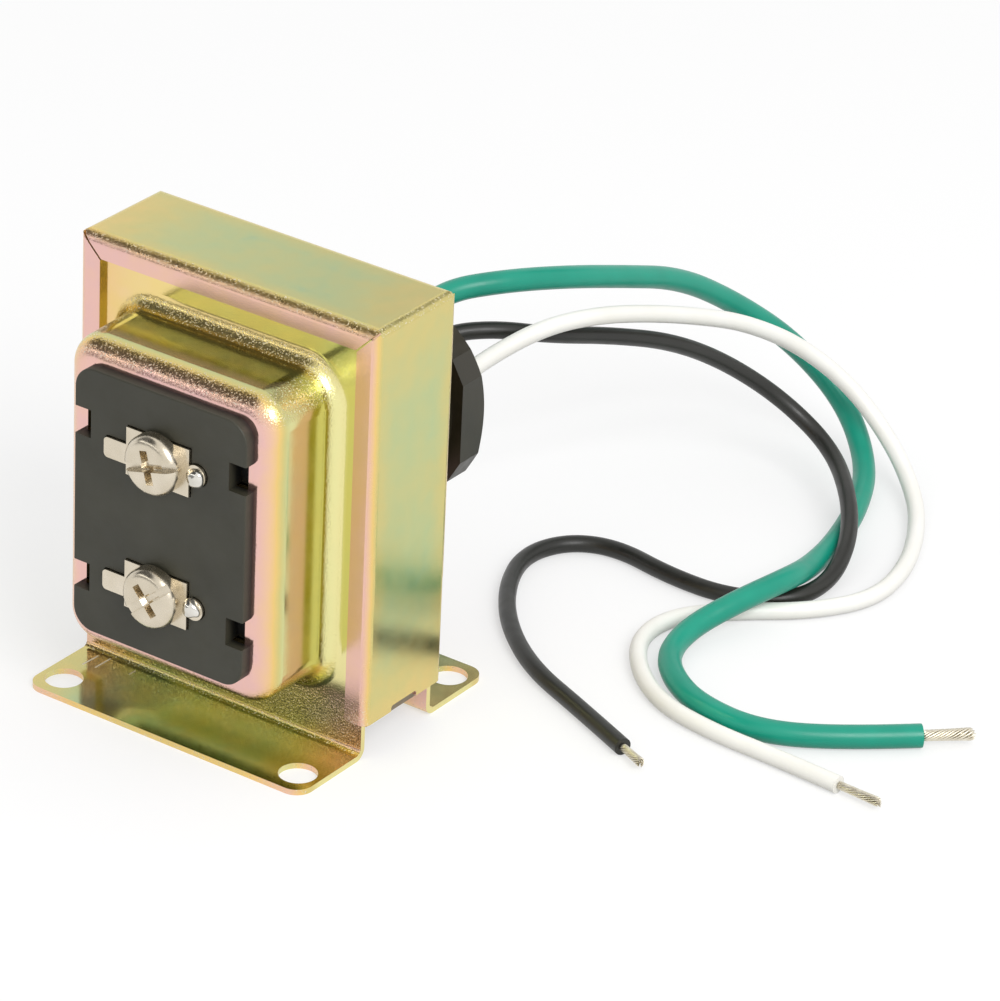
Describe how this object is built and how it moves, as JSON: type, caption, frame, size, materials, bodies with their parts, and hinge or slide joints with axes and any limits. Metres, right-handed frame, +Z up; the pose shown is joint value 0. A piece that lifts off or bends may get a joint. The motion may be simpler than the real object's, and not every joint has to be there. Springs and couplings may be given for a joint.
{
  "type": "doorbell transformer",
  "caption": "Small chassis-mount doorbell transformer with a plated steel strap, drawn end covers with feet, a terminal board and a threaded hub with three leads.",
  "frame": {"origin": "on the mounting surface, in the middle of the four foot holes", "axes": "+X along the terminal side, +Y from the terminals towards the threaded hub, +Z up"},
  "size_m": [0.1054, 0.1308, 0.061],
  "materials": {
    "passivated_steel": "yellow passivated zinc plate, satin",
    "lamination_steel": "bare rolled sheet, varnished",
    "former_nylon": "moulded, matte",
    "winding_copper": "enamelled wire, satin",
    "winding_tape": "polyester tape, satin",
    "board_plastic": "moulded, matte",
    "nickel_plate": "nickel plate, satin",
    "solder": "bright solder",
    "tinned_copper": "tinned strands",
    "hub_plastic": "moulded, satin",
    "green_insulation": "extruded vinyl, satin",
    "black_insulation": "extruded vinyl, satin",
    "white_insulation": "extruded vinyl, satin"
  },
  "bodies": {
    "root": {"strap_frame": "passivated_steel", "front_cover": "passivated_steel", "rear_cover": "passivated_steel", "e_laminations": "lamination_steel", "i_laminations": "lamination_steel", "coil_former": "former_nylon", "primary_winding": "winding_copper", "primary_wrap": "winding_tape", "secondary_winding": "winding_copper", "secondary_wrap": "winding_tape", "terminal_board": "board_plastic", "upper_terminal_plate": "nickel_plate", "upper_terminal_screw": "nickel_plate", "upper_solder_joint": "solder", "upper_secondary_tail": "tinned_copper", "lower_terminal_plate": "nickel_plate", "lower_terminal_screw": "nickel_plate", "lower_solder_joint": "solder", "lower_secondary_tail": "tinned_copper", "hub_bushing": "hub_plastic", "lock_nut": "hub_plastic", "earth_terminal": "nickel_plate", "green_lead": "green_insulation", "green_conductor": "tinned_copper", "black_lead": "black_insulation", "black_conductor": "tinned_copper", "white_lead": "white_insulation", "white_conductor": "tinned_copper"}
  },
  "joints": []
}
